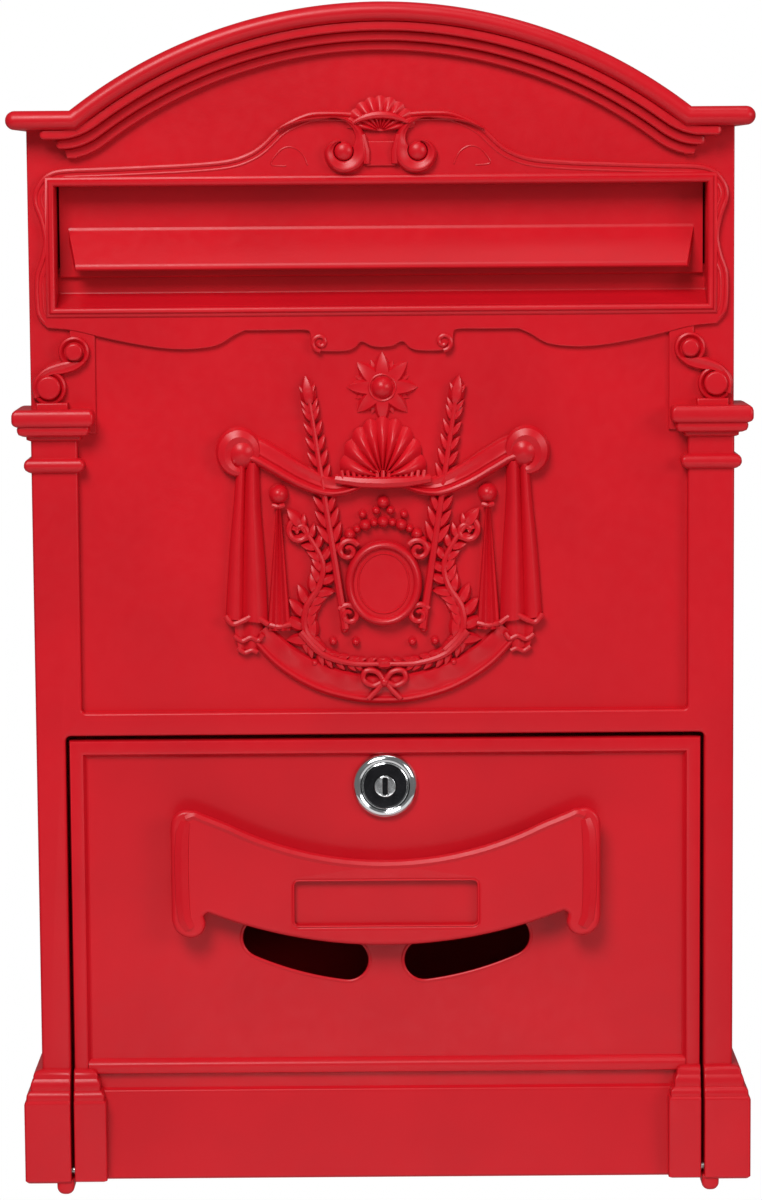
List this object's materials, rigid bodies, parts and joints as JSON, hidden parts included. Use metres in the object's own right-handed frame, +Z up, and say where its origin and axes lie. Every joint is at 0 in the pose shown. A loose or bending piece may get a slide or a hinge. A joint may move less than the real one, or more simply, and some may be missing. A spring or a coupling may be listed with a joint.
{
  "type": "wall letterbox",
  "caption": "Wall-mounted cast letterbox with an arched roof, an outward-swinging letter flap and a drop-down door with a cam lock and pull handle.",
  "frame": {"origin": "centre of the four wall holes, on the back face of the back plate", "axes": "+X to the right seen from the front, +Y into the wall, +Z up; the front faces -Y"},
  "size_m": [0.26, 0.09, 0.4212],
  "materials": {
    "red_coating": "satin red powder coat on cast aluminium",
    "zinc_steel": "zinc plated steel",
    "lock_chrome": "bright chrome plate",
    "lock_black": "gloss black cap"
  },
  "bodies": {
    "housing": {"front_casting": "red_coating", "back_plate": "red_coating", "floor_plate": "red_coating", "arched_roof": "red_coating", "left_side_wall": "red_coating", "right_side_wall": "red_coating", "slot_surround": "red_coating", "crest_scrolls": "red_coating", "left_console": "red_coating", "right_console": "red_coating", "emblem_relief": "red_coating", "flap_rod": "zinc_steel", "rod_clips": "zinc_steel", "left_hinge_pin": "zinc_steel", "right_hinge_pin": "zinc_steel", "front_screws": "zinc_steel", "back_plate_screws": "zinc_steel", "roof_screws": "zinc_steel", "floor_rivets": "zinc_steel"},
    "flap": {"letter_flap": "red_coating"},
    "door": {"door_casting": "red_coating", "pull_handle": "red_coating", "handle_screws": "zinc_steel", "lock_housing": "lock_chrome", "lock_washer": "zinc_steel", "lock_nut": "zinc_steel"},
    "lock": {"lock_plug": "lock_chrome", "lock_face": "lock_black", "lock_cam": "zinc_steel", "cam_washer": "zinc_steel", "cam_screw": "zinc_steel"}
  },
  "joints": [
    {"name": "flap_swing", "type": "hinge", "parent": "housing", "child": "flap", "pos_m": [0, -0.0714, 0.1682], "axis": [-1, 0, 0], "range_deg": [0, 50]},
    {"name": "door_drop", "type": "hinge", "parent": "housing", "child": "door", "pos_m": [0, -0.082, -0.1865], "axis": [1, 0, 0], "range_deg": [0, 100]},
    {"name": "lock_turn", "type": "hinge", "parent": "door", "child": "lock", "pos_m": [0, -0.079, -0.0479], "axis": [0, 1, 0], "range_deg": [0, 90]}
  ]
}
